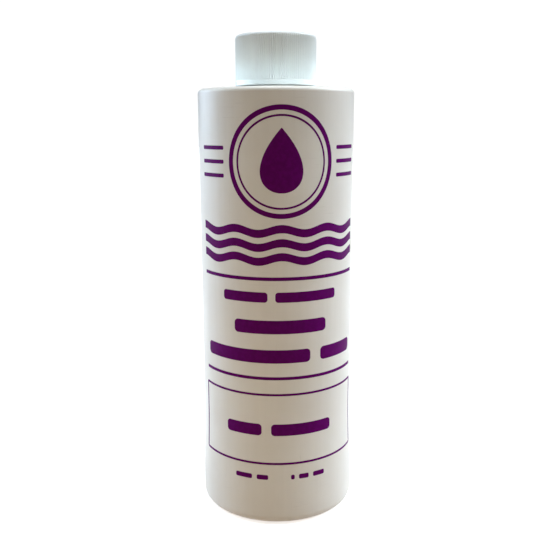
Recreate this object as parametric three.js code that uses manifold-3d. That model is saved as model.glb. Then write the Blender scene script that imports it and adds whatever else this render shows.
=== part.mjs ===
// A 237 ml round bottle of glass-cutting oil with a ribbed screw cap, in millimetres, +Z up.
// The origin is the centre of the standing ring, on the surface that the bottle stands on, and the
// printed front faces -Y. Four pieces: the blow-moulded bottle, the moulded cap, the foam liner
// that seals the cap on the rim, and the oil. The threads are right-handed: turning the cap
// anticlockwise, seen from above, lifts it by one LEAD for each turn.
import * as THREE from "three";
import { mergeVertices } from "three/addons/utils/BufferGeometryUtils.js";
import Module from "manifold-3d";

// Bottle body
const BODY_RADIUS = 25.3; // of the straight wall
const FOOT_BULGE = 0.6; // how much fuller the wall is near the base
const BULGE_LOW = 8; // the bulge is whole below this height
const BULGE_TOP = 36; // and has faded out here
const WALL = 0.9;
const HEEL_RADIUS = 3.0; // rounding from the wall to the base
const STAND_INNER_RADIUS = 18.5; // inner edge of the flat standing ring
const PUSH_UP = 1.8; // how far the middle of the base is domed up
const BASE_WALL = 1.3;
const SHOULDER_START = 138.0; // height where the straight wall ends
const SHOULDER_ROUNDING = 1.5;
const SHOULDER_SLOPE = THREE.MathUtils.degToRad(3); // rise of the shoulder towards the neck

// Neck finish, for a 24 mm continuous-thread cap
const NECK_RADIUS = 10.75;
const BORE_RADIUS = 9.0;
const NECK_FILLET = 0.8; // between the shoulder and the neck
const RIM_HEIGHT = 153.7;
const RIM_CHAMFER = 0.35;
const LEAD = 25.4 / 8; // 8 turns to the inch
const THREAD_TURNS = 1.5;
const NECK_THREAD_HEIGHT = 1.1; // radial
const NECK_THREAD_START = 146.7; // height of the lower end's centreline

// Cap
const CAP_RADIUS = 13.0; // over the ribs
const CAP_TOP = 156.2;
const CAP_BOTTOM = 140.4;
const CAP_TOP_WALL = 1.5;
const CAP_BORE_RADIUS = 12.05;
const CAP_TOP_ROUNDING = 1.2;
const CAP_BAND_HEIGHT = 1.6; // smooth ring below the ribs
const CAP_MOUTH_CHAMFER = 0.3;
const RIB_COUNT = 120;
const RIB_DEPTH = 0.32;
const CAP_THREAD_HEIGHT = 0.95; // radial
const CAP_THREAD_DROP = 1.1; // how far the cap's thread runs below the neck's

// Liner
const LINER_RADIUS = 11.7;
const LINER_GAP = 0.05; // to the rim below it and the cap above it

// Oil
const OIL_VOLUME = 237e3;
const OIL_GAP = 0.1; // to the inside of the bottle

// Facets
const BOTTLE_FACETS = 64;
const THREAD_STEPS_PER_TURN = 48;
const ARC_DIVISIONS = 2; // a THREE.Path makes twice as many pieces of each arc

const BASE_RADIUS = BODY_RADIUS + FOOT_BULGE - HEEL_RADIUS;
const BULGE_MIDDLE = (BULGE_LOW + BULGE_TOP) / 2;
const SHOULDER_CENTRE_RADIUS = BODY_RADIUS - SHOULDER_ROUNDING;
const CAP_CEILING = CAP_TOP - CAP_TOP_WALL;

const wasm = await Module();
wasm.setup();

// A closed geometry as a manifold-3d solid.
function toSolid(geometry) {
  const bare = geometry.clone();
  bare.deleteAttribute("normal");
  bare.deleteAttribute("uv");
  const merged = mergeVertices(bare, 1e-4);
  const mesh = new wasm.Mesh({
    numProp: 3,
    vertProperties: merged.attributes.position.array,
    triVerts: new Uint32Array(merged.index.array),
  });
  return new wasm.Manifold(mesh);
}

// A manifold-3d solid as a three.js geometry.
function toGeometry(solid) {
  const mesh = solid.getMesh();
  const geometry = new THREE.BufferGeometry();
  geometry.setAttribute("position", new THREE.BufferAttribute(mesh.vertProperties, 3));
  geometry.setIndex(new THREE.BufferAttribute(mesh.triVerts, 1));
  geometry.computeVertexNormals();
  return geometry;
}

// A profile of radius and height, from the axis round to the axis, turned about +Z.
function turned(path, facets) {
  const geometry = new THREE.LatheGeometry(path.getPoints(ARC_DIVISIONS), facets);
  return geometry.rotateX(Math.PI / 2);
}

// One screw thread: a straight ridge with one step to each facet, wound onto a cylinder. It stands
// out from the cylinder where outward is 1 and in where it is -1, and its ends fade into the wall.
function thread({ radius, height, rootWidth, crestWidth, start, outward }) {
  const buried = 0.3; // how far the ridge's root reaches into the wall
  const fadeAngle = THREE.MathUtils.degToRad(25);
  const sweep = THREE.MathUtils.degToRad(360 * THREAD_TURNS);
  const section = new THREE.Shape([
    new THREE.Vector2(-buried, -rootWidth / 2),
    new THREE.Vector2(0, -rootWidth / 2),
    new THREE.Vector2(height, -crestWidth / 2),
    new THREE.Vector2(height, crestWidth / 2),
    new THREE.Vector2(0, rootWidth / 2),
    new THREE.Vector2(-buried, rootWidth / 2),
  ]);
  const ridge = new THREE.ExtrudeGeometry(section, {
    depth: sweep,
    steps: THREAD_STEPS_PER_TURN * THREAD_TURNS,
    bevelEnabled: false,
  });
  const at = ridge.getAttribute("position");
  for (let i = 0; i < at.count; i++) {
    const turn = outward > 0 ? sweep - at.getZ(i) : at.getZ(i);
    const fromEnd = Math.min(turn, sweep - turn);
    const full = 0.15 + 0.85 * THREE.MathUtils.smoothstep(fromEnd, 0, fadeAngle);
    const r = radius + outward * ((at.getX(i) + buried) * full - buried);
    const z = start + at.getY(i) + (LEAD * turn) / (2 * Math.PI);
    at.setXYZ(i, r * Math.cos(turn), r * Math.sin(turn), z);
  }
  return ridge;
}

// The shoulder's straight slope touches the rounding at this angle, and this is its height where
// it reaches the neck's fillet.
const slopeAngle = Math.PI / 2 - SHOULDER_SLOPE;
function shoulderHeight(radius, rounding) {
  const r = SHOULDER_CENTRE_RADIUS + rounding * Math.cos(slopeAngle);
  const z = SHOULDER_START + rounding * Math.sin(slopeAngle);
  return z + (r - radius) * Math.tan(SHOULDER_SLOPE);
}

// Takes a path from the heel up the wall to this height. The radius is the straight wall's.
function wallUp(path, radius, top) {
  const full = radius + FOOT_BULGE;
  path.lineTo(full, BULGE_LOW);
  path.bezierCurveTo(full, BULGE_MIDDLE, radius, BULGE_MIDDLE, radius, BULGE_TOP);
  path.lineTo(radius, top);
}

// Takes a path down the wall to this height, at the heel.
function wallDown(path, radius, bottom) {
  const full = radius + FOOT_BULGE;
  path.lineTo(radius, BULGE_TOP);
  path.bezierCurveTo(radius, BULGE_MIDDLE, full, BULGE_MIDDLE, full, BULGE_LOW);
  path.lineTo(full, bottom);
}

function bottleGeometry() {
  const outerFoot = NECK_RADIUS + NECK_FILLET;
  const innerFoot = BORE_RADIUS + NECK_FILLET;
  const innerRounding = SHOULDER_ROUNDING - WALL;
  const innerHeel = HEEL_RADIUS - WALL;
  const innerFootHeight = shoulderHeight(innerFoot, innerRounding);
  const outerFootHeight = shoulderHeight(outerFoot, SHOULDER_ROUNDING);

  const path = new THREE.Path();
  path.moveTo(0, PUSH_UP);
  path.quadraticCurveTo(STAND_INNER_RADIUS * 0.7, PUSH_UP, STAND_INNER_RADIUS, 0);
  path.lineTo(BASE_RADIUS, 0);
  path.absarc(BASE_RADIUS, HEEL_RADIUS, HEEL_RADIUS, -Math.PI / 2, 0, false);
  wallUp(path, BODY_RADIUS, SHOULDER_START);
  path.absarc(SHOULDER_CENTRE_RADIUS, SHOULDER_START, SHOULDER_ROUNDING, 0, slopeAngle, false);
  path.lineTo(outerFoot, outerFootHeight);
  path.quadraticCurveTo(NECK_RADIUS, outerFootHeight, NECK_RADIUS, outerFootHeight + NECK_FILLET);
  path.lineTo(NECK_RADIUS, RIM_HEIGHT - RIM_CHAMFER);
  path.lineTo(NECK_RADIUS - RIM_CHAMFER, RIM_HEIGHT);
  path.lineTo(BORE_RADIUS, RIM_HEIGHT);
  path.lineTo(BORE_RADIUS, innerFootHeight + NECK_FILLET);
  path.quadraticCurveTo(BORE_RADIUS, innerFootHeight, innerFoot, innerFootHeight);
  path.absarc(SHOULDER_CENTRE_RADIUS, SHOULDER_START, innerRounding, slopeAngle, 0, true);
  wallDown(path, BODY_RADIUS - WALL, BASE_WALL + innerHeel);
  path.absarc(BASE_RADIUS, BASE_WALL + innerHeel, innerHeel, 0, -Math.PI / 2, true);
  path.lineTo(STAND_INNER_RADIUS, BASE_WALL);
  path.quadraticCurveTo(STAND_INNER_RADIUS * 0.7, BASE_WALL + PUSH_UP, 0, BASE_WALL + PUSH_UP);

  const neckThread = thread({
    radius: NECK_RADIUS,
    height: NECK_THREAD_HEIGHT,
    rootWidth: 1.7,
    crestWidth: 0.7,
    start: NECK_THREAD_START,
    outward: 1,
  });
  const shell = toSolid(turned(path, BOTTLE_FACETS));
  return toGeometry(shell.add(toSolid(neckThread)));
}

// The cap's outline seen from above: a crest and a groove for each rib.
function ribOutline() {
  const points = [];
  for (let i = 0; i < 2 * RIB_COUNT; i++) {
    const angle = (Math.PI * i) / RIB_COUNT;
    const radius = i % 2 ? CAP_RADIUS - RIB_DEPTH : CAP_RADIUS;
    points.push(new THREE.Vector2(radius * Math.cos(angle), radius * Math.sin(angle)));
  }
  return new THREE.Shape(points);
}

function capGeometry() {
  const spare = 0.05; // the ribs are cut from a blank this much wider than they are
  const blankRadius = CAP_RADIUS + spare;
  const roundingCentre = CAP_TOP - CAP_TOP_ROUNDING;
  const blank = new THREE.Path();
  blank.moveTo(0, CAP_CEILING);
  blank.lineTo(CAP_BORE_RADIUS, CAP_CEILING);
  blank.lineTo(CAP_BORE_RADIUS, CAP_BOTTOM + CAP_MOUTH_CHAMFER);
  blank.lineTo(CAP_BORE_RADIUS + CAP_MOUTH_CHAMFER, CAP_BOTTOM);
  blank.lineTo(blankRadius, CAP_BOTTOM);
  blank.lineTo(blankRadius, roundingCentre);
  blank.absarc(
    blankRadius - CAP_TOP_ROUNDING, roundingCentre, CAP_TOP_ROUNDING, 0, Math.PI / 2, false,
  );
  blank.lineTo(0, CAP_TOP);

  const ribs = new THREE.ExtrudeGeometry(ribOutline(), {
    depth: CAP_TOP - CAP_BOTTOM,
    bevelEnabled: false,
  });
  ribs.translate(0, 0, CAP_BOTTOM + CAP_BAND_HEIGHT);
  const band = new THREE.CylinderGeometry(
    CAP_RADIUS, CAP_RADIUS, CAP_BAND_HEIGHT + spare, RIB_COUNT,
  );
  band.rotateX(Math.PI / 2);
  band.translate(0, 0, CAP_BOTTOM + (CAP_BAND_HEIGHT - spare) / 2 + spare);

  const capThread = thread({
    radius: CAP_BORE_RADIUS,
    height: CAP_THREAD_HEIGHT,
    rootWidth: 1.4,
    crestWidth: 0.6,
    start: NECK_THREAD_START - CAP_THREAD_DROP,
    outward: -1,
  });
  const outside = toSolid(ribs).add(toSolid(band));
  const cup = toSolid(turned(blank, RIB_COUNT)).intersect(outside);
  return toGeometry(cup.add(toSolid(capThread)));
}

function linerGeometry() {
  const bottom = RIM_HEIGHT + LINER_GAP;
  const thickness = CAP_CEILING - LINER_GAP - bottom;
  const disc = new THREE.CylinderGeometry(LINER_RADIUS, LINER_RADIUS, thickness, BOTTLE_FACETS);
  return disc.rotateX(Math.PI / 2).translate(0, 0, bottom + thickness / 2);
}

function oilGeometry() {
  const radius = BODY_RADIUS - WALL - OIL_GAP;
  const floor = BASE_WALL + OIL_GAP;
  const heel = HEEL_RADIUS - WALL - OIL_GAP;
  const section = Math.PI * (BODY_RADIUS - WALL) ** 2;
  const dome = (Math.PI * STAND_INNER_RADIUS ** 2 * PUSH_UP) / 2; // what the push-up takes away
  const bulge = 2 * Math.PI * (BODY_RADIUS - WALL) * FOOT_BULGE * (BULGE_MIDDLE - floor);
  const level = floor + (OIL_VOLUME + dome - bulge) / section;
  const path = new THREE.Path();
  path.moveTo(0, floor + PUSH_UP);
  path.quadraticCurveTo(STAND_INNER_RADIUS * 0.7, floor + PUSH_UP, STAND_INNER_RADIUS, floor);
  path.lineTo(BASE_RADIUS, floor);
  path.absarc(BASE_RADIUS, floor + heel, heel, -Math.PI / 2, 0, false);
  wallUp(path, radius, level);
  path.lineTo(0, level);
  return turned(path, BOTTLE_FACETS);
}

// A named piece of the bottle in its own material.
function piece(name, geometry, material) {
  const mesh = new THREE.Mesh(geometry, new THREE.MeshStandardMaterial(material));
  mesh.name = name;
  return mesh;
}

const bottleOfOil = new THREE.Group();
bottleOfOil.add(
  piece("bottle", bottleGeometry(), { color: "#f1f0ec", roughness: 0.38, metalness: 0 }),
  piece("screw_cap", capGeometry(), { color: "#f6f7f7", roughness: 0.45, metalness: 0 }),
  piece("cap_liner", linerGeometry(), { color: "#f2f0ea", roughness: 0.75, metalness: 0 }),
  piece("oil", oilGeometry(), {
    color: "#e8d9a0", roughness: 0.05, metalness: 0, transparent: true, opacity: 0.5,
  }),
);

export default bottleOfOil;
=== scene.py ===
"""The looks of a round plastic bottle of glass-cutting oil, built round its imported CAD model.

The four solids are made again as fine meshes: the blown bottle with its thread and parting line,
the moulded cap with its ribs, the foam liner and the oil. The printing on the front is thin ink.
Lengths are in metres, +Z is up and the printed front faces -Y.
"""

import math

import bmesh
import bpy
from mathutils import Matrix, Vector


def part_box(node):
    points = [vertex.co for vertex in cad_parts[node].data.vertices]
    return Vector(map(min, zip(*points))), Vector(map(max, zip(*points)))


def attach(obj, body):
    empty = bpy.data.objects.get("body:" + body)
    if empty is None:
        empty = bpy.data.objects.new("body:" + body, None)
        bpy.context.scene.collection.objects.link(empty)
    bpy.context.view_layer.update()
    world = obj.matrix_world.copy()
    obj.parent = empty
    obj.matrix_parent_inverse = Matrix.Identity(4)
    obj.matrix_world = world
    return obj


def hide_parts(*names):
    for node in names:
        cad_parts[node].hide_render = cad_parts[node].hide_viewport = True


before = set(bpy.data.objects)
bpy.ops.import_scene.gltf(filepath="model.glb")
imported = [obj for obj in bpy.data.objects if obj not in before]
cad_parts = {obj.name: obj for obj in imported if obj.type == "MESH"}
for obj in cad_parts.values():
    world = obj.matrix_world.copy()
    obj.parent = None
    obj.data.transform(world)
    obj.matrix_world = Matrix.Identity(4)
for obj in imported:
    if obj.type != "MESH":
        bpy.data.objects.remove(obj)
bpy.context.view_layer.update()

MM = 0.001
TURN = 2 * math.pi

# Places in the frame
BOTTLE_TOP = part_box("bottle")[1]
CAP_LOW, CAP_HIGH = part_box("screw_cap")
LINER_LOW, LINER_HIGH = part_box("cap_liner")
OIL_LOW, OIL_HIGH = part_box("oil")

# The bottle, by the same dimensions as its CAD solid
FOOT_BULGE = 0.6 * MM
BULGE_LOW = 8 * MM
BULGE_TOP = 36 * MM
BODY_RADIUS = BOTTLE_TOP.x - FOOT_BULGE - 0.06 * MM  # leaves room for the parting line
RIM_HEIGHT = BOTTLE_TOP.z
WALL = 0.9 * MM
HEEL_RADIUS = 3.0 * MM
STAND_INNER_RADIUS = 18.5 * MM
PUSH_UP = 1.8 * MM
BASE_WALL = 1.3 * MM
SHOULDER_START = 138.0 * MM
SHOULDER_ROUNDING = 1.5 * MM
SHOULDER_SLOPE = math.radians(3)
NECK_RADIUS = 10.75 * MM
BORE_RADIUS = 9.0 * MM
NECK_FILLET = 0.8 * MM
RIM_ROUNDING = 0.35 * MM
SLOPE_RUN_OUTSIDE = 11 * MM  # how far out from the neck the shoulder's slope has close rings
SLOPE_RUN_INSIDE = 13 * MM

# The threads, right-handed, from the same start as the CAD threads
LEAD = 25.4 * MM / 8
THREAD_TURNS = 1.5
THREAD_FADE = math.radians(25)
NECK_THREAD = {"start": 146.7 * MM, "height": 1.1 * MM, "root": 1.7 * MM, "crest": 0.7 * MM}
CAP_THREAD = {"start": 145.6 * MM, "height": 0.95 * MM, "root": 1.4 * MM, "crest": 0.6 * MM}

# The parting line up both sides of the bottle, and the pinched-off seam across its base
PARTING_HEIGHT = 0.045 * MM
PARTING_HALF_WIDTH = 0.16 * MM
PINCH_HEIGHT = 0.3 * MM
PINCH_HALF_WIDTH = 0.45 * MM
PINCH_HALF_LENGTH = 12.5 * MM

# The cap, whose ribs are a little shallower than its CAD solid's
CAP_RADIUS = CAP_HIGH.x
CAP_BORE_RADIUS = 12.05 * MM
CAP_CEILING = LINER_HIGH.z + 0.05 * MM
CAP_TOP_ROUNDING = 1.3 * MM
RIB_COUNT = 120
RIB_DEPTH = 0.27 * MM
RIBS_BOTTOM = CAP_LOW.z + 1.6 * MM
RIBS_TOP = CAP_HIGH.z - 0.9 * MM

# Printing, as distances along the wall from the middle of the front and heights
INK_DEPTH = 0.02 * MM  # both out of the wall and into it
PRINT_HALF_WIDTH = 29.9 * MM


# ---------------------------------------------------------------- mesh building


def line(start, end, count):
    """Points of radius and height from start towards end, without end."""
    step = [(end[i] - start[i]) / count for i in range(2)]
    return [(start[0] + step[0] * i, start[1] + step[1] * i) for i in range(count)]


def arc(centre, radius, start, end, count):
    """Points on an arc from the start angle to the end angle, in degrees, without the last."""
    points = []
    for i in range(count):
        angle = math.radians(start + (end - start) * i / count)
        points.append((centre[0] + radius * math.cos(angle), centre[1] + radius * math.sin(angle)))
    return points


def skin(rings):
    """Vertices and faces through rings of points, each closed round the axis. A ring of one point
    is a pole. Where one ring has several times the points of the next, each edge of the coarser
    ring meets that many edges of the finer one."""
    points = []
    starts = []
    for ring in rings:
        starts.append(len(points))
        points.extend(ring)
    faces = []
    for low, high in zip(range(len(rings) - 1), range(1, len(rings))):
        if len(rings[low]) >= len(rings[high]):
            fine, coarse = low, high
        else:
            fine, coarse = high, low
        many, few = len(rings[fine]), len(rings[coarse])
        ratio = 1 if few == 1 else many // few
        for i in range(many // ratio):
            outer = [starts[fine] + (i * ratio + k) % many for k in range(ratio + 1)]
            inner = [starts[coarse]]
            if few > 1:
                inner = [starts[coarse] + (i + 1) % few, starts[coarse] + i]
            faces.append(outer + inner)
    return points, faces


def add_piece(name, points, faces, material, body, slot, sharp=math.radians(35)):
    """A closed mesh piece with smooth shading, riding on a CAD body."""
    mesh = bpy.data.meshes.new(name)
    mesh.from_pydata(points, [], faces)
    work = bmesh.new()
    work.from_mesh(mesh)
    bmesh.ops.recalc_face_normals(work, faces=work.faces)
    work.to_mesh(mesh)
    work.free()
    mesh.shade_smooth()
    mesh.set_sharp_from_angle(angle=sharp)
    mesh.materials.append(material)
    piece = bpy.data.objects.new(name, mesh)
    bpy.context.scene.collection.objects.link(piece)
    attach(piece, body)
    return piece


def round_the_axis(radius, height, angles):
    """A ring of points at one radius and height."""
    return [(radius * math.cos(a), radius * math.sin(a), height) for a in angles]


def even_angles(count):
    return [TURN * i / count for i in range(count)]


def smooth(value, low, high):
    """0 at low and 1 at high, smoothly between."""
    share = min(1.0, max(0.0, (value - low) / (high - low)))
    return share * share * (3 - 2 * share)


def thread_height(angle, height, thread):
    """How far a thread stands off its wall at this angle and height."""
    most = 0.0
    for lap in range(math.ceil(THREAD_TURNS)):
        turn = angle + TURN * lap
        if turn > TURN * THREAD_TURNS:
            continue
        off_centre = abs(height - thread["start"] - LEAD * turn / TURN)
        flank = 1 - smooth(off_centre, thread["crest"] / 2, thread["root"] / 2)
        from_end = min(turn, TURN * THREAD_TURNS - turn)
        most = max(most, flank * smooth(from_end, 0, THREAD_FADE))
    return most * thread["height"]


# ---------------------------------------------------------------- materials


def feed(tree, socket, value):
    """Links a socket to a node's output, or sets it to a plain value."""
    if isinstance(value, bpy.types.NodeSocket):
        tree.links.new(value, socket)
    else:
        socket.default_value = value


class Surface:
    """A Principled material under construction, with its patterns in object coordinates."""

    def __init__(self, name, **values):
        self.material = bpy.data.materials.new(name)
        self.material.use_nodes = True
        self.tree = self.material.node_tree
        self.shader = self.tree.nodes["Principled BSDF"]
        for socket, value in values.items():
            self.shader.inputs[socket.replace("_", " ")].default_value = value
        self.place = self.node("ShaderNodeTexCoord").outputs["Object"]
        self.normal = None

    def node(self, kind, inputs=None, **settings):
        made = self.tree.nodes.new(kind)
        for name, value in settings.items():
            setattr(made, name, value)
        for socket, value in (inputs or {}).items():
            feed(self.tree, made.inputs[socket], value)
        return made

    def noise(self, size, stretch=(1, 1, 1), turn=(0, 0, 0), detail=2.0):
        """Noise whose features are about size across, times stretch along each axis."""
        scale = [1 / s for s in stretch]
        place = self.node(
            "ShaderNodeMapping", {"Vector": self.place, "Rotation": turn, "Scale": scale}
        )
        made = self.node(
            "ShaderNodeTexNoise",
            {"Vector": place.outputs[0], "Scale": 1 / size, "Detail": detail},
        )
        return made.outputs[0]

    def between(self, value, low, high, at_low=0.0, at_high=1.0):
        """value taken from the range low to high to the range at_low to at_high, smoothly."""
        made = self.node(
            "ShaderNodeMapRange",
            {0: value, 1: low, 2: high, 3: at_low, 4: at_high},
            interpolation_type="SMOOTHSTEP",
        )
        return made.outputs[0]

    def maths(self, operation, first, second):
        made = self.node("ShaderNodeMath", {0: first, 1: second}, operation=operation)
        return made.outputs[0]

    def blend(self, share, first, second):
        """A colour from first to second, by share."""
        made = self.node(
            "ShaderNodeMix", {"Factor": share, "A": first, "B": second}, data_type="RGBA"
        )
        return made.outputs["Result"]

    def height(self):
        split = self.node("ShaderNodeSeparateXYZ", {"Vector": self.place})
        return split.outputs["Z"]

    def from_axis(self):
        """Distance from the bottle's axis."""
        flat = self.node(
            "ShaderNodeVectorMath", {0: self.place, 1: (1, 1, 0)}, operation="MULTIPLY"
        )
        made = self.node("ShaderNodeVectorMath", {0: flat.outputs[0]}, operation="LENGTH")
        return made.outputs["Value"]

    def bump(self, pattern, depth):
        """Adds a pattern this deep to the surface."""
        inputs = {"Height": pattern, "Distance": depth, "Strength": 1}
        if self.normal:
            inputs["Normal"] = self.normal
        self.normal = self.node("ShaderNodeBump", inputs).outputs[0]

    def finish(self, colour, roughness):
        self.tree.links.new(colour, self.shader.inputs["Base Color"])
        self.tree.links.new(roughness, self.shader.inputs["Roughness"])
        if self.normal:
            self.tree.links.new(self.normal, self.shader.inputs["Normal"])
        return self.material


def bottle_plastic():
    """Satin white HDPE: drawn streaks from blowing, soft orange peel, and a little shelf wear."""
    s = Surface(
        "bottle_plastic", IOR=1.5, Subsurface_Weight=0.12, Subsurface_Scale=0.002,
        Subsurface_Radius=(1.0, 0.85, 0.7),
    )
    clouds = s.noise(22 * MM, detail=3)
    streaks = s.noise(1.6 * MM, stretch=(1, 1, 45))
    colour = s.blend(s.between(clouds, 0.35, 0.65), (0.84, 0.82, 0.775, 1), (0.87, 0.855, 0.81, 1))
    colour = s.blend(s.between(streaks, 0.3, 0.7, 0, 0.25), colour, (0.8, 0.785, 0.74, 1))

    scratches = s.noise(0.35 * MM, stretch=(30, 30, 1), turn=(0.5, 0.2, 0))
    crossing = s.noise(0.35 * MM, stretch=(1, 1, 40), turn=(-0.3, 0.25, 0))
    scuffs = s.maths(
        "MAXIMUM", s.between(scratches, 0.66, 0.72), s.between(crossing, 0.67, 0.73)
    )
    scuffs = s.maths("MULTIPLY", scuffs, s.between(s.noise(14 * MM), 0.5, 0.62))
    near_heel = s.between(s.height(), 0.6 * MM, 3.2 * MM, 1, 0)
    near_shoulder = s.between(s.height(), SHOULDER_START + 0.4 * MM, SHOULDER_START + 1.3 * MM)
    rubbed = s.maths("MAXIMUM", near_heel, s.maths("MULTIPLY", near_shoulder, 0.35))
    rubbed = s.maths("MULTIPLY", rubbed, s.between(s.noise(2.5 * MM, detail=5), 0.45, 0.7))
    worn = s.maths("MAXIMUM", rubbed, s.maths("MULTIPLY", scuffs, 0.5))
    colour = s.blend(s.maths("MULTIPLY", worn, 0.3), colour, (0.55, 0.53, 0.49, 1))

    roughness = s.between(s.noise(6 * MM, stretch=(1, 1, 4)), 0.3, 0.7, 0.33, 0.41)
    roughness = s.maths("ADD", roughness, s.maths("MULTIPLY", worn, 0.15))
    s.bump(clouds, 0.25 * MM)
    s.bump(streaks, 0.012 * MM)
    s.bump(s.noise(0.9 * MM), 0.006 * MM)
    s.bump(s.noise(0.12 * MM), 0.0012 * MM)
    s.bump(scuffs, -0.004 * MM)
    return s.finish(colour, roughness)


def cap_plastic():
    """Moulded white PP: clean ribs rubbed a little on their crests, and a spark-eroded top."""
    s = Surface(
        "cap_plastic", IOR=1.49, Subsurface_Weight=0.15, Subsurface_Scale=0.0015,
        Subsurface_Radius=(1.0, 0.95, 0.9),
    )
    flow = s.noise(5 * MM, detail=3)
    colour = s.blend(s.between(flow, 0.35, 0.65), (0.785, 0.83, 0.84, 1), (0.81, 0.855, 0.865, 1))
    crest = s.between(s.from_axis(), CAP_RADIUS - 0.1 * MM, CAP_RADIUS - 0.01 * MM)
    handled = s.maths("MULTIPLY", crest, s.between(s.noise(3 * MM, detail=4), 0.5, 0.7))
    colour = s.blend(s.maths("MULTIPLY", handled, 0.25), colour, (0.66, 0.65, 0.62, 1))
    on_top = s.between(s.height(), CAP_HIGH.z - 0.15 * MM, CAP_HIGH.z - 0.05 * MM)
    grain = s.maths("MULTIPLY", s.noise(0.22 * MM, detail=3), on_top)
    roughness = s.between(s.noise(1.5 * MM), 0.3, 0.7, 0.3, 0.38)
    roughness = s.maths("ADD", roughness, s.maths("MULTIPLY", on_top, 0.12))
    s.bump(grain, 0.02 * MM)
    s.bump(s.noise(0.5 * MM, stretch=(1, 1, 12)), 0.005 * MM)
    return s.finish(colour, roughness)


def liner_foam():
    """Off-white polyethylene foam, with its cells showing at the cut edge."""
    s = Surface("liner_foam", IOR=1.5, Subsurface_Weight=0.2, Subsurface_Scale=0.001)
    cells = s.node(
        "ShaderNodeTexVoronoi", {"Vector": s.place, "Scale": 1 / (0.16 * MM)}
    ).outputs["Distance"]
    colour = s.blend(s.between(cells, 0.1, 0.7), (0.74, 0.73, 0.69, 1), (0.85, 0.84, 0.8, 1))
    roughness = s.between(s.noise(1.2 * MM), 0.3, 0.7, 0.6, 0.8)
    s.bump(cells, 0.03 * MM)
    return s.finish(colour, roughness)


def clear_oil():
    """Clear light mineral oil, the colour of weak tea."""
    s = Surface("oil", IOR=1.47, Transmission_Weight=1.0)
    drift = s.noise(12 * MM)
    colour = s.blend(s.between(drift, 0.3, 0.7), (0.95, 0.84, 0.5, 1), (0.97, 0.87, 0.56, 1))
    roughness = s.between(s.noise(20 * MM), 0.3, 0.7, 0.0, 0.01)
    return s.finish(colour, roughness)


def print_ink():
    """Screen-printed purple ink, slightly uneven in thickness."""
    s = Surface("print_ink", IOR=1.5, Specular_IOR_Level=0.03)
    uneven = s.noise(1.4 * MM, detail=4)
    purple = ((0.115, 0.0005, 0.13, 1), (0.14, 0.001, 0.16, 1))
    colour = s.blend(s.between(uneven, 0.35, 0.7), *purple)
    mesh_marks = s.noise(0.18 * MM)
    colour = s.blend(s.between(mesh_marks, 0.62, 0.8, 0, 0.3), colour, (0.2, 0.01, 0.225, 1))
    roughness = s.between(uneven, 0.3, 0.7, 0.38, 0.5)
    s.bump(mesh_marks, 0.003 * MM)
    return s.finish(colour, roughness)


# ---------------------------------------------------------------- the bottle


def wall_radius(height):
    """The wall's radius at a height: straight, but fuller towards the foot."""
    return BODY_RADIUS + FOOT_BULGE * (1 - smooth(height, BULGE_LOW, BULGE_TOP))


def wall_points(start, end, count, inset=0.0):
    """Points of the wall from one height towards another, this far inside it."""
    heights = [start + (end - start) * i / count for i in range(count)]
    return [(wall_radius(z) - inset, z) for z in heights]


def shoulder_height(radius, rounding):
    """Height of the shoulder's slope at a radius, with this rounding at the body's edge."""
    r = BODY_RADIUS - SHOULDER_ROUNDING + rounding * math.sin(SHOULDER_SLOPE)
    z = SHOULDER_START + rounding * math.cos(SHOULDER_SLOPE)
    return z + (r - radius) * math.tan(SHOULDER_SLOPE)


def base_dome(radius):
    """How high the underside is domed up at a radius."""
    share = min(1.0, radius / STAND_INNER_RADIUS)
    return PUSH_UP * math.cos(share * math.pi / 2) ** 2


def outer_profile():
    """From the middle of the underside to the top of the neck's wall, as radius and height."""
    slope_end = 90 - math.degrees(SHOULDER_SLOPE)
    foot = NECK_RADIUS + NECK_FILLET
    foot_height = shoulder_height(foot, SHOULDER_ROUNDING) + NECK_FILLET
    heel_centre = (BODY_RADIUS + FOOT_BULGE - HEEL_RADIUS, HEEL_RADIUS)
    edge_centre = (BODY_RADIUS - SHOULDER_ROUNDING, SHOULDER_START)
    rim_foot = RIM_HEIGHT - RIM_ROUNDING
    rings = 28
    profile = []
    for i in range(1, rings):
        radius = STAND_INNER_RADIUS * i / rings
        profile.append((radius, base_dome(radius)))
    profile += line((STAND_INNER_RADIUS, 0), (heel_centre[0], 0), 4)
    profile += arc(heel_centre, HEEL_RADIUS, -90, 0, 12)
    profile += wall_points(HEEL_RADIUS, SHOULDER_START, 60)
    profile += arc(edge_centre, SHOULDER_ROUNDING, 0, slope_end, 12)
    slope = foot + SLOPE_RUN_OUTSIDE
    profile += line(
        (slope, shoulder_height(slope, SHOULDER_ROUNDING)),
        (foot, shoulder_height(foot, SHOULDER_ROUNDING)),
        10,
    )
    profile += arc((foot, foot_height), NECK_FILLET, 270 - math.degrees(SHOULDER_SLOPE), 180, 6)
    profile += line((NECK_RADIUS, foot_height), (NECK_RADIUS, rim_foot), 110)
    return profile


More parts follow.
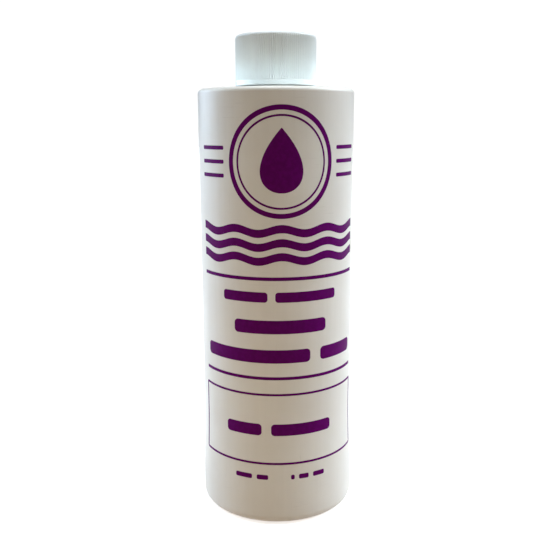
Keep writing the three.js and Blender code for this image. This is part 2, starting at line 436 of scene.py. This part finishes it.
def inner_profile():
    """From the rim's outer edge, over the rim and down the inside, to the middle of the floor."""
    slope_end = 90 - math.degrees(SHOULDER_SLOPE)
    edge = SHOULDER_ROUNDING - WALL
    heel = HEEL_RADIUS - WALL
    foot = BORE_RADIUS + NECK_FILLET
    foot_height = shoulder_height(foot, edge) + NECK_FILLET
    heel_centre = (BODY_RADIUS + FOOT_BULGE - HEEL_RADIUS, BASE_WALL + heel)
    edge_centre = (BODY_RADIUS - SHOULDER_ROUNDING, SHOULDER_START)
    rim_outer = NECK_RADIUS - RIM_ROUNDING
    rim_inner = BORE_RADIUS + RIM_ROUNDING
    rim_foot = RIM_HEIGHT - RIM_ROUNDING
    profile = arc((rim_outer, rim_foot), RIM_ROUNDING, 0, 90, 5)
    profile += line((rim_outer, RIM_HEIGHT), (rim_inner, RIM_HEIGHT), 3)
    profile += arc((rim_inner, rim_foot), RIM_ROUNDING, 90, 180, 5)
    profile += line((BORE_RADIUS, rim_foot), (BORE_RADIUS, foot_height), 12)
    profile += arc((foot, foot_height), NECK_FILLET, 180, 270 - math.degrees(SHOULDER_SLOPE), 5)
    slope = foot + SLOPE_RUN_INSIDE
    profile += line((foot, shoulder_height(foot, edge)), (slope, shoulder_height(slope, edge)), 8)
    profile += arc(edge_centre, edge, slope_end, 0, 6)
    profile += wall_points(SHOULDER_START, heel_centre[1], 40, inset=WALL)
    profile += arc(heel_centre, heel, 0, -90, 6)
    rings = 12
    for i in range(rings, 0, -1):
        radius = STAND_INNER_RADIUS * i / rings
        profile.append((radius, BASE_WALL + base_dome(radius)))
    return profile


def bottle_angles():
    """Even columns round the bottle, with close ones beside the parting line at +X and -X."""
    beside = [PARTING_HALF_WIDTH / BODY_RADIUS * k for k in (-2.2, -1.4, -0.7, 0.7, 1.4, 2.2)]
    angles = set(even_angles(192))
    for middle in (0, math.pi):
        angles.update((middle + a) % TURN for a in beside)
    return sorted(angles)


def add_bottle(material):
    angles = bottle_angles()
    profile = outer_profile()
    rings = [[(0, 0, base_dome(0) - PINCH_HEIGHT)]]
    for i, (radius, height) in enumerate(profile):
        before = profile[max(0, i - 1)]
        after = profile[min(len(profile) - 1, i + 1)]
        along = Vector((after[0] - before[0], after[1] - before[1])).normalized()
        out = Vector((along.y, -along.x))
        parting = PARTING_HEIGHT * smooth(height, 0.8 * HEEL_RADIUS, 2 * HEEL_RADIUS)
        on_neck = height > SHOULDER_START + 2 * SHOULDER_ROUNDING
        ring = []
        for angle in angles:
            from_plane = radius * math.sin(angle)
            lift = parting * math.exp(-((from_plane / PARTING_HALF_WIDTH) ** 2))
            if on_neck:
                lift += thread_height(angle, height, NECK_THREAD)
            r = radius + lift * out.x
            z = height + lift * out.y
            if radius < STAND_INNER_RADIUS:
                reach = abs(radius * math.cos(angle))
                fade = 1 - smooth(reach, 0.85 * PINCH_HALF_LENGTH, PINCH_HALF_LENGTH)
                z -= PINCH_HEIGHT * fade * math.exp(-((from_plane / PINCH_HALF_WIDTH) ** 2))
            ring.append((r * math.cos(angle), r * math.sin(angle), z))
        rings.append(ring)
    for radius, height in inner_profile():
        rings.append(round_the_axis(radius, height, angles))
    rings.append([(0, 0, BASE_WALL + PUSH_UP)])
    piece = add_piece("bottle_shell", *skin(rings), material, "bottle", "bottle_plastic")
    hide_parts("bottle")


# ---------------------------------------------------------------- the cap, liner and oil

COLUMNS_PER_RIB = 6
INSIDE_COLUMNS = RIB_COUNT * 2


def rib_groove(angle):
    """0 on a rib's round crest and 1 in the groove beside it."""
    phase = (angle / TURN * RIB_COUNT) % 1
    return (0.5 - 0.5 * math.cos(TURN * phase)) ** 0.8


def cap_outside():
    """Rings from the mouth's outer edge up the ribs to the edge of the flat top."""
    lip = 0.25 * MM
    below_ribs = RIBS_BOTTOM - 0.1 * MM
    in_ribs = RIBS_BOTTOM + 0.3 * MM
    rounding_start = CAP_HIGH.z - CAP_TOP_ROUNDING
    band_middle = (CAP_LOW.z + RIBS_BOTTOM) / 2
    band_line_depth = 0.05 * MM
    band_line_width = 0.09 * MM
    profile = arc((CAP_RADIUS - lip, CAP_LOW.z + lip), lip, -90, 0, 4)
    profile += line((CAP_RADIUS, CAP_LOW.z + lip), (CAP_RADIUS, below_ribs), 10)
    profile += line((CAP_RADIUS, below_ribs), (CAP_RADIUS, in_ribs), 4)
    profile += line((CAP_RADIUS, in_ribs), (CAP_RADIUS, rounding_start), 8)
    centre = (CAP_RADIUS - CAP_TOP_ROUNDING, rounding_start)
    profile += arc(centre, CAP_TOP_ROUNDING, 0, 90, 10)
    angles = even_angles(RIB_COUNT * COLUMNS_PER_RIB)
    rings = []
    for radius, height in profile:
        cut = smooth(height, RIBS_BOTTOM - 0.05 * MM, RIBS_BOTTOM + 0.15 * MM)
        cut *= 1 - smooth(height, RIBS_TOP - 0.2 * MM, RIBS_TOP + 0.45 * MM)
        line_cut = band_line_depth * math.exp(-(((height - band_middle) / band_line_width) ** 2))
        ring = []
        for angle in angles:
            r = radius - line_cut - RIB_DEPTH * cut * rib_groove(angle)
            ring.append((r * math.cos(angle), r * math.sin(angle), height))
        rings.append(ring)
    return rings


def cap_top():
    """Rings over the flat top to the shallow dimple, with the nub where the plastic was let in."""
    dimple_radius = 1.6 * MM
    dimple_depth = 0.3 * MM
    nub_radius = 0.45 * MM
    nub_height = 0.2 * MM
    angles = even_angles(INSIDE_COLUMNS)
    flat_radius = CAP_RADIUS - CAP_TOP_ROUNDING
    rings = []
    for share in (0.98, 0.8, 0.6, 0.4, 0.2):
        rings.append(round_the_axis(flat_radius * share, CAP_HIGH.z, angles))
    for i in range(9):
        radius = dimple_radius * (1 - i / 9)
        depth = dimple_depth * (1 - smooth(radius, 0.6 * dimple_radius, dimple_radius))
        depth -= nub_height * (1 - smooth(radius, 0.5 * nub_radius, nub_radius))
        rings.append(round_the_axis(radius, CAP_HIGH.z - depth, angles))
    rings.append([(0, 0, CAP_HIGH.z - dimple_depth + nub_height)])
    return rings


def cap_inside():
    """Rings from the mouth up the threaded bore and over the ceiling."""
    angles = even_angles(INSIDE_COLUMNS)
    chamfer = 0.3 * MM
    corner = 0.35 * MM
    profile = [(CAP_BORE_RADIUS + 1.6 * chamfer, CAP_LOW.z)]
    mouth = CAP_LOW.z + chamfer
    profile += line((CAP_BORE_RADIUS + chamfer, CAP_LOW.z), (CAP_BORE_RADIUS, mouth), 3)
    profile += line((CAP_BORE_RADIUS, mouth), (CAP_BORE_RADIUS, CAP_CEILING - corner), 100)
    profile += arc((CAP_BORE_RADIUS - corner, CAP_CEILING - corner), corner, 0, 90, 5)
    profile += line((CAP_BORE_RADIUS - corner, CAP_CEILING), (0, CAP_CEILING), 6)
    rings = []
    for radius, height in profile:
        in_bore = radius > CAP_BORE_RADIUS - 0.01 * MM
        ring = []
        for angle in angles:
            lift = thread_height(angle, height, CAP_THREAD) if in_bore else 0
            r = radius - lift
            ring.append((r * math.cos(angle), r * math.sin(angle), height))
        rings.append(ring)
    rings.append([(0, 0, CAP_CEILING)])
    return rings


def add_cap(material):
    rings = cap_inside()[::-1] + cap_outside() + cap_top()
    piece = add_piece("cap_moulding", *skin(rings), material, "cap", "cap_plastic")
    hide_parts("screw_cap")


def add_liner(material):
    """A foam disc between two thin films, with the foam drawn in a little at the cut edge."""
    film = 0.08 * MM
    radius = LINER_HIGH.x
    foam_radius = radius - 0.06 * MM
    angles = even_angles(144)
    profile = [(radius * 0.5, LINER_LOW.z)]
    profile += line((radius - film, LINER_LOW.z), (radius, LINER_LOW.z + film), 2)
    profile += [(radius, LINER_LOW.z + film), (foam_radius, LINER_LOW.z + 1.5 * film)]
    profile += line(
        (foam_radius, LINER_LOW.z + 2 * film), (foam_radius, LINER_HIGH.z - 1.5 * film), 3
    )
    profile += [(foam_radius, LINER_HIGH.z - 1.5 * film), (radius, LINER_HIGH.z - film)]
    profile += [(radius - film, LINER_HIGH.z), (radius * 0.5, LINER_HIGH.z)]
    rings = [[(0, 0, LINER_LOW.z)]]
    rings += [round_the_axis(r, z, angles) for r, z in profile]
    rings.append([(0, 0, LINER_HIGH.z)])
    piece = add_piece("liner_disc", *skin(rings), material, "liner", "liner_foam")
    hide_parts("cap_liner")


def add_oil(material):
    """The oil, which creeps a little way up the wall at its surface."""
    foot_radius = OIL_HIGH.x
    inset = BODY_RADIUS + FOOT_BULGE - foot_radius
    floor = OIL_LOW.z
    heel = HEEL_RADIUS - WALL
    creep_height = 0.7 * MM
    creep_width = 2.5 * MM
    angles = even_angles(128)
    profile = []
    for i in range(1, 12):
        r = STAND_INNER_RADIUS * i / 11
        profile.append((r, floor + base_dome(r)))
    profile += arc((foot_radius - heel, floor + heel), heel, -90, 0, 8)
    profile += wall_points(floor + heel, OIL_HIGH.z + creep_height, 40, inset)
    for i in range(13):
        in_from_wall = creep_width * 2 * i / 12
        level = OIL_HIGH.z + creep_height * math.exp(-2 * in_from_wall / creep_width)
        profile.append((BODY_RADIUS - inset - in_from_wall, level))
    rings = [[(0, 0, floor + PUSH_UP)]]
    rings += [round_the_axis(r, z, angles) for r, z in profile]
    rings.append([(0, 0, OIL_HIGH.z)])
    piece = add_piece("oil_fill", *skin(rings), material, "bottle", "oil")
    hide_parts("oil")


# ---------------------------------------------------------------- the printing


def bar(left, right, bottom, top, corner):
    """Sections of a rounded bar from left to right, each from its lower to its upper edge."""
    count = max(8, math.ceil((right - left) / (0.6 * MM)))
    sections = []
    middle = (bottom + top) / 2
    ends = 6
    places = [left + corner * (1 - math.cos(math.pi / 2 * i / ends)) for i in range(ends)]
    inner = [left + corner + (right - left - 2 * corner) * i / count for i in range(count + 1)]
    places += inner + [left + right - x for x in reversed(places)]
    for x in places:
        into_corner = max(0.0, corner - (x - left), corner - (right - x))
        cut = corner - math.sqrt(max(0.0, corner**2 - into_corner**2))
        cut = min(cut, corner - 0.02 * MM)
        low, high = bottom + cut, top - cut
        sections.append([(x, low), (x, middle), (x, high)])
    return sections


def circle_band(middle, radius, width):
    """Sections of a ring, each from its inner to its outer edge."""
    sections = []
    count = 120
    for i in range(count):
        angle = TURN * i / count
        section = []
        for offset in (-width / 2, 0, width / 2):
            r = radius + offset
            section.append((r * math.cos(angle), middle + r * math.sin(angle)))
        sections.append(section)
    return sections


def box_band(left, right, bottom, top, width, corner):
    """Sections of the outline of a box with rounded corners."""
    centres = [(right, top, 0), (left, top, 90), (left, bottom, 180), (right, bottom, 270)]
    sides = []
    for x, z, start in centres:
        inset_x = corner if x == left else -corner
        inset_z = corner if z == bottom else -corner
        turn = [start + 90 * i / 5 for i in range(6)]
        sides.append([(x + inset_x, z + inset_z, math.radians(a)) for a in turn])
    sections = []
    for side, following in zip(sides, sides[1:] + sides[:1]):
        stops = list(side)
        last, first = side[-1], following[0]
        length = math.hypot(first[0] - last[0], first[1] - last[1])
        count = math.ceil(length / (0.7 * MM))
        for i in range(1, count):
            share = i / count
            x = last[0] + (first[0] - last[0]) * share
            z = last[1] + (first[1] - last[1]) * share
            stops.append((x, z, last[2]))
        for x, z, angle in stops:
            out = (math.cos(angle), math.sin(angle))
            section = []
            for offset in (corner - width / 2, corner, corner + width / 2):
                section.append((x + out[0] * offset, z + out[1] * offset))
            sections.append(section)
    return sections


def wave(middle, width, rise, length):
    """Sections of a wavy line across the whole print."""
    count = 120
    sections = []
    for i in range(count + 1):
        x = PRINT_HALF_WIDTH * (2 * i / count - 1)
        z = middle + rise * math.cos(TURN * x / length)
        sections.append([(x, z - width / 2), (x, z), (x, z + width / 2)])
    return sections


def drop(bottom, top, half_width):
    """Sections of an oil drop from its round foot to its tip, each from left to right."""
    count = 40
    across = 17
    widest = math.sqrt(1 / 3) * (2 / 3)  # of the outline sqrt(t) (1 - t), at t = 1/3
    sections = []
    for i in range(count + 1):
        share = (i / count) ** 1.5
        share = min(0.995, max(0.0015, share))
        half = half_width * math.sqrt(share) * (1 - share) / widest
        z = bottom + (top - bottom) * share
        section = []
        for k in range(across):
            section.append((half * (2 * k / (across - 1) - 1), z))
        sections.append(section)
    return sections


def on_wall(x, z, depth):
    """The point at this distance along the wall and height, this far out of the wall."""
    angle = x / BODY_RADIUS
    r = wall_radius(z) + depth
    return (r * math.sin(angle), -r * math.cos(angle), z)


def add_print(name, shapes, material):
    """Thin closed ink solids wrapped on the wall. A shape is its sections, and whether they go
    right round and meet."""
    points = []
    faces = []
    for sections, closed in shapes:
        across = len(sections[0])
        start = len(points)
        for section in sections:
            points.extend(on_wall(x, z, INK_DEPTH) for x, z in section)
            points.extend(on_wall(x, z, -INK_DEPTH) for x, z in reversed(section))
        loop = 2 * across
        count = len(sections)
        for i in range(count if closed else count - 1):
            a = start + loop * i
            b = start + loop * ((i + 1) % count)
            for k in range(loop):
                n = (k + 1) % loop
                faces.append((a + k, a + n, b + n, b + k))
        if not closed:
            for end in (start, start + loop * (count - 1)):
                for k in range(across - 1):
                    faces.append((end + k, end + k + 1, end + loop - 2 - k, end + loop - 1 - k))
    add_piece(name, points, faces, material, "bottle", "print_ink", sharp=math.radians(50))


def add_prints(material):
    """All the printing, from the top down. Each shape says whether it goes right round."""
    # A plain badge: a drop in two rings, with three lines on each side
    badge_height = 117.3 * MM
    badge_radius = 16.1 * MM
    badge = [
        (circle_band(badge_height, badge_radius, 1.5 * MM), True),
        (circle_band(badge_height, badge_radius - 2.3 * MM, 0.6 * MM), True),
        (drop(badge_height - 9.2 * MM, badge_height + 10.2 * MM, 6.6 * MM), False),
    ]
    near = 19.0 * MM
    half = 0.6 * MM
    corner = 0.4 * MM
    for level in (-1, 0, 1):
        z = badge_height + level * 4.2 * MM
        badge.append((bar(near, PRINT_HALF_WIDTH, z - half, z + half, corner), False))
        badge.append((bar(-PRINT_HALF_WIDTH, -near, z - half, z + half, corner), False))
    add_print("print_badge", badge, material)

    # Three plain waves in place of the large word
    waves = []
    for level in (-1, 0, 1):
        middle = 92.3 * MM + level * 4.3 * MM
        waves.append((wave(middle, 2.5 * MM, 0.75 * MM, 14.95 * MM), False))
    add_print("print_waves", waves, material)

    # Two rules across, each with its height and width
    rules = []
    for height, width in ((81.9 * MM, 1.1 * MM), (49.95 * MM, 1.0 * MM)):
        edges = (height - width / 2, height + width / 2)
        rules.append((bar(-PRINT_HALF_WIDTH, PRINT_HALF_WIDTH, *edges, 0.15 * MM), False))
    add_print("print_rules", rules, material)

    # A frame round the last large words: its sides, then its line's width and its corners
    frame_sides = (-30.5 * MM, 30.5 * MM, 21.3 * MM, 44.5 * MM)
    outline = box_band(*frame_sides, 0.72 * MM, 0.5 * MM)
    add_print("print_frame", [(outline, True)], material)

    # Each word as a plain bar, in millimetres: where its line is, how tall, and where it starts
    # and ends
    lines = [
        (76.1, 3.2, [(-19.8, -4.5), (-2.1, 18.9)]),
        (66.6, 4.3, [(-15.6, 14.9)]),
        (57.1, 4.3, [(-28.2, 9.2), (12.9, 28.4)]),
        (32.7, 3.9, [(-19.1, -6.7), (-3.6, 17.1)]),
        (16.6, 1.6, [(-15.6, -9.9), (-8.3, -4.6), (2.7, 3.9), (5.3, 8.6), (10.2, 14.4)]),
    ]
    words = []
    for middle, tall, spans in lines:
        for left, right in spans:
            low = (middle - tall / 2) * MM
            high = (middle + tall / 2) * MM
            words.append((bar(left * MM, right * MM, low, high, 0.3 * tall * MM), False))
    add_print("print_words", words, material)


# ---------------------------------------------------------------- stage, light and camera

CAMERA_DISTANCE = 250 * MM
CAMERA_HEIGHT = 128.7 * MM
CAMERA_ASIDE = -0.56 * MM
CAMERA_AZIMUTH = math.radians(-3.6)
CAMERA_PITCH = math.radians(11.43)
CAMERA_ROLL = math.radians(-0.25)
CAMERA_LENS = 49.11


def add_camera():
    data = bpy.data.cameras.new("camera")
    data.lens = CAMERA_LENS
    data.clip_start = 0.01
    camera = bpy.data.objects.new("camera", data)
    bpy.context.scene.collection.objects.link(camera)
    right = Vector((math.cos(CAMERA_AZIMUTH), math.sin(CAMERA_AZIMUTH), 0))
    forward = Vector((-math.sin(CAMERA_AZIMUTH), math.cos(CAMERA_AZIMUTH), 0))
    place = CAMERA_ASIDE * right - CAMERA_DISTANCE * forward
    place.z = CAMERA_HEIGHT
    turn = (
        Matrix.Rotation(CAMERA_AZIMUTH, 4, "Z")
        @ Matrix.Rotation(math.pi / 2 - CAMERA_PITCH, 4, "X")
        @ Matrix.Rotation(CAMERA_ROLL, 4, "Z")
    )
    camera.matrix_world = Matrix.Translation(place) @ turn
    bpy.context.scene.camera = camera


def add_floor():
    """A plain pale floor. It throws no light back up, so that the light on the bottle is set by
    the lamps and the surroundings alone. It glows a little, which keeps the bottle's own shadow
    on it faint."""
    mesh = bpy.data.meshes.new("floor")
    half = 4.0  # metres from the middle to each edge
    corners = [(-half, -half, 0), (half, -half, 0), (half, half, 0), (-half, half, 0)]
    mesh.from_pydata(corners, [], [(0, 1, 2, 3)])
    s = Surface(
        "floor", Roughness=0.9, Specular_IOR_Level=0.1,
        Emission_Color=(1, 1, 1, 1), Emission_Strength=0.6,
    )
    paper = s.noise(3 * MM, detail=3)
    colour = s.blend(s.between(paper, 0.3, 0.7), (0.9, 0.9, 0.9, 1), (0.92, 0.92, 0.92, 1))
    s.tree.links.new(colour, s.shader.inputs["Base Color"])
    mesh.materials.append(s.material)
    floor = bpy.data.objects.new("floor", mesh)
    bpy.context.scene.collection.objects.link(floor)
    floor.visible_diffuse = False
    floor.visible_shadow = False
    floor.location.z = -0.02 * MM


def add_lamp(name, place, target, size, watts):
    """A soft rectangular lamp that shows neither to the camera nor in the gloss. watts are for
    red, green and blue."""
    data = bpy.data.lights.new(name, "AREA")
    data.shape = "RECTANGLE"
    data.size, data.size_y = size
    data.energy = 1
    data.color = watts
    lamp = bpy.data.objects.new(name, data)
    bpy.context.scene.collection.objects.link(lamp)
    lamp.location = place
    lamp.rotation_euler = (Vector(target) - Vector(place)).to_track_quat("-Z", "Y").to_euler()
    lamp.visible_camera = False
    lamp.visible_glossy = False


def towards(azimuth, elevation):
    """A direction from the bottle, in degrees: azimuth 0 is the front and 90 is +X."""
    a, e = math.radians(azimuth), math.radians(elevation)
    return Vector((math.sin(a) * math.cos(e), -math.cos(a) * math.cos(e), math.sin(e)))


# Lamps that stand for light thrown back by things near the bottle's foot: name, place and watts
BOUNCE_HEIGHT = 35 * MM
BOUNCE_SIZE = (0.3, 0.1)
BOUNCE_LAMPS = [
    ("left_bounce", (-0.18, -0.1), (0.06, 0.041, 0.021)),
    ("front_bounce", (0, -0.2), (0.046, 0.027, 0.006)),
    ("right_bounce", (0.18, -0.1), (0.02, 0.0135, 0.009)),
]

# Lamps round the cap, close over the shoulder: azimuth, and share of the watts
SHOULDER_LAMPS = [(-60, 1.35), (0, 1.0), (60, 1.35)]
SHOULDER_LAMP_WATTS = (0.00032, 0.0004, 0.00042)
SHOULDER_LAMP_RADIUS = 21 * MM
SHOULDER_LAMP_HEIGHT = 141.3 * MM
SHOULDER_LAMP_SIZE = (16 * MM, 1.6 * MM)
SHOULDER_LAMP_TARGET = (0, 0, 150 * MM)

# Soft lights a long way off: where they are, and how bright
DISTANT_LIGHTS = [
    (towards(0, 90), (5.4, 5.6, 5.7)),
    (towards(100, 36), (7.4, 8.2, 8.9)),
    (towards(-100, 45), (1.1, 1.24, 1.33)),
    (towards(-121, 10), (3.9, 5.0, 6.3)),
    (towards(0, 10), (0.42, 0.4, 0.35)),
    (towards(0, -90), (1.7, 1.2, 0.9)),
]
DISTANT_LIGHT_SPREAD = math.radians(28)
ROOM_LIGHT = (0.109, 0.103, 0.095)  # from every side
WHITE_BACKGROUND = (1.05, 1.05, 1.05, 1)


def add_surroundings():
    """A dim room with soft lights all round, above and below. The camera sees it white."""
    world = bpy.data.worlds.new("studio")
    world.use_nodes = True
    bpy.context.scene.world = world
    tree = world.node_tree
    nodes, links = tree.nodes, tree.links
    place = nodes.new("ShaderNodeTexCoord").outputs["Generated"]
    total = ROOM_LIGHT
    for direction, colour in DISTANT_LIGHTS:
        facing = nodes.new("ShaderNodeVectorMath")
        facing.operation = "DOT_PRODUCT"
        facing.inputs[1].default_value = direction
        links.new(place, facing.inputs[0])
        glow = nodes.new("ShaderNodeMapRange")
        glow.interpolation_type = "SMOOTHSTEP"
        glow.inputs["From Min"].default_value = math.cos(DISTANT_LIGHT_SPREAD)
        glow.inputs["From Max"].default_value = 1
        links.new(facing.outputs["Value"], glow.inputs["Value"])
        added = nodes.new("ShaderNodeVectorMath")
        added.operation = "MULTIPLY_ADD"
        added.inputs[1].default_value = colour
        links.new(glow.outputs[0], added.inputs[0])
        feed(tree, added.inputs[2], total)
        total = added.outputs[0]
    seen = nodes.new("ShaderNodeMix")
    seen.data_type = "RGBA"
    seen.inputs["B"].default_value = WHITE_BACKGROUND
    links.new(nodes.new("ShaderNodeLightPath").outputs["Is Camera Ray"], seen.inputs["Factor"])
    links.new(total, seen.inputs["A"])
    links.new(seen.outputs["Result"], nodes["Background"].inputs["Color"])


def add_lamps():
    """Warm light thrown back from near the bottle's foot, and cool light thrown up on the cap
    from the shoulder."""
    for name, (x, y), watts in BOUNCE_LAMPS:
        add_lamp(name, (x, y, BOUNCE_HEIGHT), (0, 0, BOUNCE_HEIGHT), BOUNCE_SIZE, watts)
    for azimuth, share in SHOULDER_LAMPS:
        place = SHOULDER_LAMP_RADIUS * towards(azimuth, 0) + Vector((0, 0, SHOULDER_LAMP_HEIGHT))
        watts = share * Vector(SHOULDER_LAMP_WATTS)
        add_lamp("shoulder_bounce", place, SHOULDER_LAMP_TARGET, SHOULDER_LAMP_SIZE, watts)


# ---------------------------------------------------------------- making it all

add_camera()
add_bottle(bottle_plastic())
add_cap(cap_plastic())
add_liner(liner_foam())
add_oil(clear_oil())
add_prints(print_ink())
add_floor()
add_surroundings()
add_lamps()
bpy.context.scene.view_settings.view_transform = "Standard"
